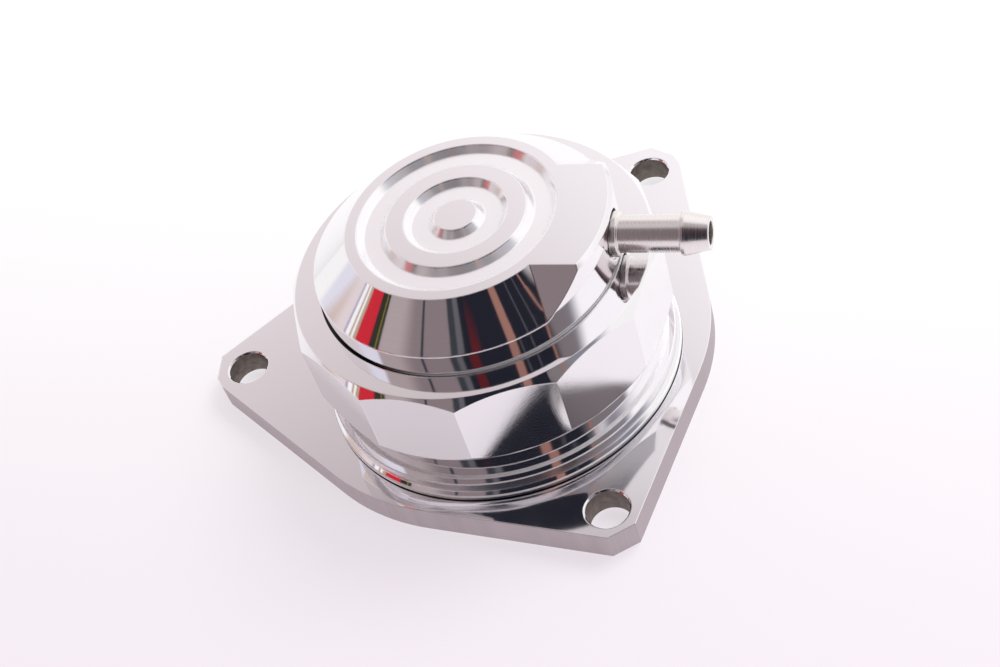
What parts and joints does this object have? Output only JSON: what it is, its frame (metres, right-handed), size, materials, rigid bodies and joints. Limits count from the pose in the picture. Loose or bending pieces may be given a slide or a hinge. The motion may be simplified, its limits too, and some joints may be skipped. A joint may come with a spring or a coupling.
{
  "type": "blow off valve",
  "caption": "Polished blow off valve: lobed mounting flange, faceted turned body, coned cap with ring grooves and a barbed signal nipple; a sprung piston inside opens the vents.",
  "frame": {"origin": "centre of the air inlet on the mounting face", "axes": "+Z along the valve axis towards the cap, +X towards the single bolt hole"},
  "size_m": [0.0795, 0.0862, 0.0357],
  "materials": {
    "flange_metal": "polished top, satin sides",
    "body_metal": "polished, turned",
    "cap_metal": "polished, turned",
    "nipple_metal": "turned stainless",
    "seal_rubber": "matte",
    "piston_metal": "machined",
    "band_plastic": "matte",
    "spring_steel": "drawn wire"
  },
  "bodies": {
    "housing": {"flange": "flange_metal", "valve_body": "body_metal", "cap": "cap_metal", "nipple": "nipple_metal", "nipple_seal": "seal_rubber", "cap_seal": "seal_rubber", "face_seal": "seal_rubber", "spring": "spring_steel"},
    "piston": {"piston": "piston_metal", "piston_seal": "seal_rubber", "guide_band": "band_plastic"}
  },
  "joints": [
    {"name": "piston_lift", "type": "slide", "parent": "housing", "child": "piston", "axis": [0, 0, 1], "range_m": [0, 0.008], "stiffness_N_per_m": 1500, "springref_m": -0.015, "deforming": ["spring"]}
  ]
}
